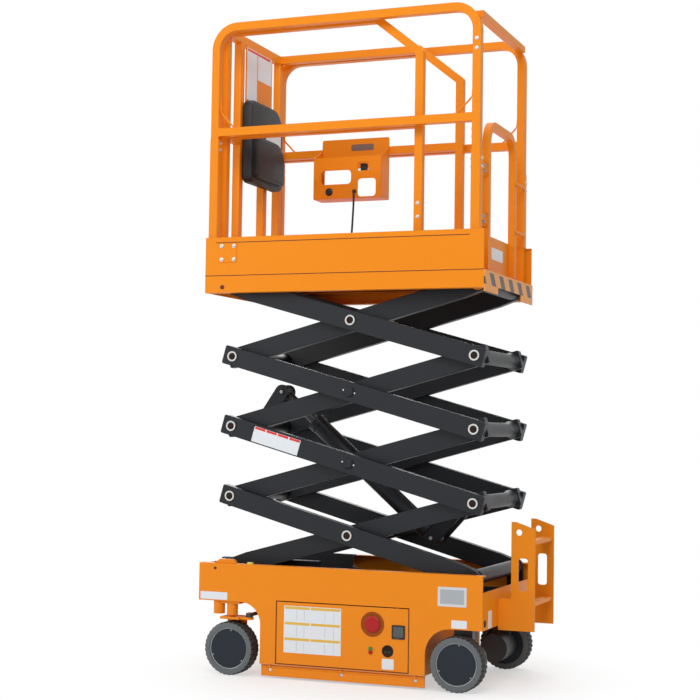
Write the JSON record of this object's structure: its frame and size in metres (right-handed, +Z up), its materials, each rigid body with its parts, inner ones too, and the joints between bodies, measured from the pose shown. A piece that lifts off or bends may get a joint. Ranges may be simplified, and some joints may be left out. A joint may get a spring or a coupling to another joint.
{
  "type": "self-propelled scissor lift",
  "caption": "Compact electric scissor lift with a railed deck, roll-out extension, crossed lifting arms on one cylinder, steered front wheels and an entry ladder.",
  "frame": {"origin": "on the floor, under the middle of the machine's length and width", "axes": "+Z up, +X towards the ladder at the rear, +Y across to the far side"},
  "size_m": [1.415, 0.77, 2.7926],
  "materials": {
    "orange_paint": "semi-gloss",
    "charcoal_paint": "satin",
    "black_plastic": "matte",
    "bright_steel": "satin",
    "tyre_rubber": "matte",
    "wheel_disc": "satin",
    "battery_case": "matte"
  },
  "bodies": {
    "chassis": {"chassis_frame": "orange_paint", "front_box": "orange_paint", "belly": "orange_paint", "rear_box": "orange_paint", "side_panel_near": "orange_paint", "side_panel_far": "orange_paint", "battery_block": "battery_case", "ladder": "orange_paint", "drive_units": "charcoal_paint", "front_axle": "orange_paint"},
    "door_near": {"door_near": "orange_paint", "door_controls": "black_plastic"},
    "door_far": {"door_far": "orange_paint"},
    "guard_near": {"guard_near": "orange_paint"},
    "guard_far": {"guard_far": "orange_paint"},
    "knuckle_near": {"knuckle_near": "orange_paint"},
    "knuckle_far": {"knuckle_far": "orange_paint"},
    "tie_rod": {"tie_rod": "bright_steel"},
    "wheel_front_near": {"tyre_front_near": "tyre_rubber", "disc_front_near": "wheel_disc"},
    "wheel_front_far": {"tyre_front_far": "tyre_rubber", "disc_front_far": "wheel_disc"},
    "wheel_rear_near": {"tyre_rear_near": "tyre_rubber", "disc_rear_near": "wheel_disc"},
    "wheel_rear_far": {"tyre_rear_far": "tyre_rubber", "disc_rear_far": "wheel_disc"},
    "base_sliders": {"base_sliders": "black_plastic"},
    "deck_sliders": {"deck_sliders": "black_plastic"},
    "lift_barrel": {"lift_barrel": "charcoal_paint"},
    "lift_rod": {"lift_rod": "bright_steel"},
    "platform": {"deck_frame": "orange_paint", "toe_boards": "orange_paint", "rail_near": "orange_paint", "rail_far": "orange_paint", "rear_bar": "orange_paint", "bumper": "orange_paint"},
    "extension": {"extension_deck": "orange_paint", "extension_rails": "orange_paint", "extension_front": "orange_paint", "notice_plate": "orange_paint", "document_box": "black_plastic", "control_tray": "orange_paint", "control_lead": "black_plastic"},
    "gate": {"gate": "orange_paint"},
    "outer_arm_1": {"outer_arm_1": "charcoal_paint"},
    "inner_arm_1": {"inner_arm_1": "charcoal_paint"},
    "outer_arm_2": {"outer_arm_2": "charcoal_paint"},
    "inner_arm_2": {"inner_arm_2": "charcoal_paint"},
    "outer_arm_3": {"outer_arm_3": "charcoal_paint"},
    "inner_arm_3": {"inner_arm_3": "charcoal_paint"},
    "outer_arm_4": {"outer_arm_4": "charcoal_paint"},
    "inner_arm_4": {"inner_arm_4": "charcoal_paint"}
  },
  "joints": [
    {"name": "lift", "type": "hinge", "parent": "chassis", "child": "outer_arm_1", "pos_m": [0.49079, 0, 0.451], "axis": [0, 1, 0], "range_deg": [-9.9, 32.6]},
    {"name": "cross_1", "type": "hinge", "parent": "outer_arm_1", "child": "inner_arm_1", "pos_m": [-0.052, 0, 0.60051], "axis": [0, 1, 0], "range_deg": [-65.25, 19.85]},
    {"name": "link_1_2", "type": "hinge", "parent": "outer_arm_1", "child": "inner_arm_2", "pos_m": [-0.59479, 0, 0.75002], "axis": [0, 1, 0], "range_deg": [-65.25, 19.85]},
    {"name": "cross_2", "type": "hinge", "parent": "inner_arm_2", "child": "outer_arm_2", "pos_m": [-0.052, 0, 0.89952], "axis": [0, 1, 0], "range_deg": [-19.85, 65.25]},
    {"name": "link_2_3", "type": "hinge", "parent": "inner_arm_2", "child": "outer_arm_3", "pos_m": [0.49079, 0, 1.04903], "axis": [0, 1, 0], "range_deg": [-19.85, 65.25]},
    {"name": "cross_3", "type": "hinge", "parent": "outer_arm_3", "child": "inner_arm_3", "pos_m": [-0.052, 0, 1.19854], "axis": [0, 1, 0], "range_deg": [-65.25, 19.85]},
    {"name": "link_3_4", "type": "hinge", "parent": "outer_arm_3", "child": "inner_arm_4", "pos_m": [-0.59479, 0, 1.34805], "axis": [0, 1, 0], "range_deg": [-65.25, 19.85]},
    {"name": "cross_4", "type": "hinge", "parent": "inner_arm_4", "child": "outer_arm_4", "pos_m": [-0.052, 0, 1.49756], "axis": [0, 1, 0], "range_deg": [-19.85, 65.25]},
    {"name": "deck_level", "type": "hinge", "parent": "inner_arm_4", "child": "platform", "pos_m": [0.49079, 0, 1.64707], "axis": [0, 1, 0], "range_deg": [-9.95, 32.65]},
    {"name": "base_slider_tilt", "type": "hinge", "parent": "inner_arm_1", "child": "base_sliders", "pos_m": [-0.59479, 0, 0.451], "axis": [0, 1, 0], "range_deg": [-9.95, 32.65]},
    {"name": "deck_slider_tilt", "type": "hinge", "parent": "outer_arm_4", "child": "deck_sliders", "pos_m": [-0.59479, 0, 1.64707], "axis": [0, 1, 0], "range_deg": [-32.65, 9.95]},
    {"name": "cylinder_foot", "type": "hinge", "parent": "inner_arm_1", "child": "lift_barrel", "pos_m": [0.22782, 0, 0.58631], "axis": [0, 1, 0], "range_deg": [-18.17, 59.71]},
    {"name": "cylinder_stroke", "type": "slide", "parent": "lift_barrel", "child": "lift_rod", "axis": [-0.7552, 0, 0.6554], "range_m": [-0.1534, 0.504]},
    {"name": "steer", "type": "hinge", "parent": "chassis", "child": "knuckle_near", "pos_m": [-0.557, -0.347, 0.25], "axis": [0, 0, 1], "range_deg": [-60, 60]},
    {"name": "steer_far", "type": "hinge", "parent": "chassis", "child": "knuckle_far", "pos_m": [-0.557, 0.347, 0.25], "axis": [0, 0, 1], "range_deg": [-60.1, 60.1]},
    {"name": "steer_tie", "type": "hinge", "parent": "knuckle_near", "child": "tie_rod", "pos_m": [-0.477, -0.347, 0.25], "axis": [0, 0, 1], "range_deg": [-60.1, 60.1]},
    {"name": "wheel_front_near_spin", "type": "hinge", "parent": "knuckle_near", "child": "wheel_front_near", "pos_m": [-0.557, -0.347, 0.112], "axis": [0, 1, 0], "continuous": true},
    {"name": "wheel_front_far_spin", "type": "hinge", "parent": "knuckle_far", "child": "wheel_front_far", "pos_m": [-0.557, 0.347, 0.112], "axis": [0, 1, 0], "continuous": true},
    {"name": "wheel_rear_near_spin", "type": "hinge", "parent": "chassis", "child": "wheel_rear_near", "pos_m": [0.448, -0.347, 0.112], "axis": [0, 1, 0], "continuous": true},
    {"name": "wheel_rear_far_spin", "type": "hinge", "parent": "chassis", "child": "wheel_rear_far", "pos_m": [0.448, 0.347, 0.112], "axis": [0, 1, 0], "continuous": true},
    {"name": "door_near_swing", "type": "hinge", "parent": "chassis", "child": "door_near", "pos_m": [0.194, -0.366, 0.2], "axis": [0, 0, 1], "range_deg": [0, 100]},
    {"name": "door_far_swing", "type": "hinge", "parent": "chassis", "child": "door_far", "pos_m": [0.194, 0.366, 0.2], "axis": [0, 0, -1], "range_deg": [0, 100]},
    {"name": "guard_near_fold", "type": "hinge", "parent": "chassis", "child": "guard_near", "pos_m": [0, -0.364, 0.049], "axis": [-1, 0, 0], "range_deg": [-88, 0]},
    {"name": "guard_far_fold", "type": "hinge", "parent": "chassis", "child": "guard_far", "pos_m": [0, 0.364, 0.049], "axis": [1, 0, 0], "range_deg": [-88, 0]},
    {"name": "extension_slide", "type": "slide", "parent": "platform", "child": "extension", "axis": [-1, 0, 0], "range_m": [0, 0.6]},
    {"name": "gate_swing", "type": "hinge", "parent": "platform", "child": "gate", "pos_m": [0.499, -0.237, 1.99256], "axis": [0, 0, 1], "range_deg": [0, 90], "stiffness_Nm_per_rad": 6, "springref_deg": -5.73}
  ],
  "couplings": [
    {"joint": "cross_1", "follows": "lift", "ratio": -2},
    {"joint": "link_1_2", "follows": "lift", "ratio": -2},
    {"joint": "cross_2", "follows": "lift", "ratio": 2},
    {"joint": "link_2_3", "follows": "lift", "ratio": 2},
    {"joint": "cross_3", "follows": "lift", "ratio": -2},
    {"joint": "link_3_4", "follows": "lift", "ratio": -2},
    {"joint": "cross_4", "follows": "lift", "ratio": 2},
    {"joint": "deck_level", "follows": "lift", "ratio": 1},
    {"joint": "base_slider_tilt", "follows": "lift", "ratio": 1},
    {"joint": "deck_slider_tilt", "follows": "lift", "ratio": -1},
    {"joint": "cylinder_foot", "follows": "lift", "ratio": 1.83},
    {"joint": "cylinder_stroke", "follows": "lift", "m_per_rad": 0.885},
    {"joint": "steer_far", "follows": "steer", "ratio": 1},
    {"joint": "steer_tie", "follows": "steer", "ratio": -1}
  ]
}
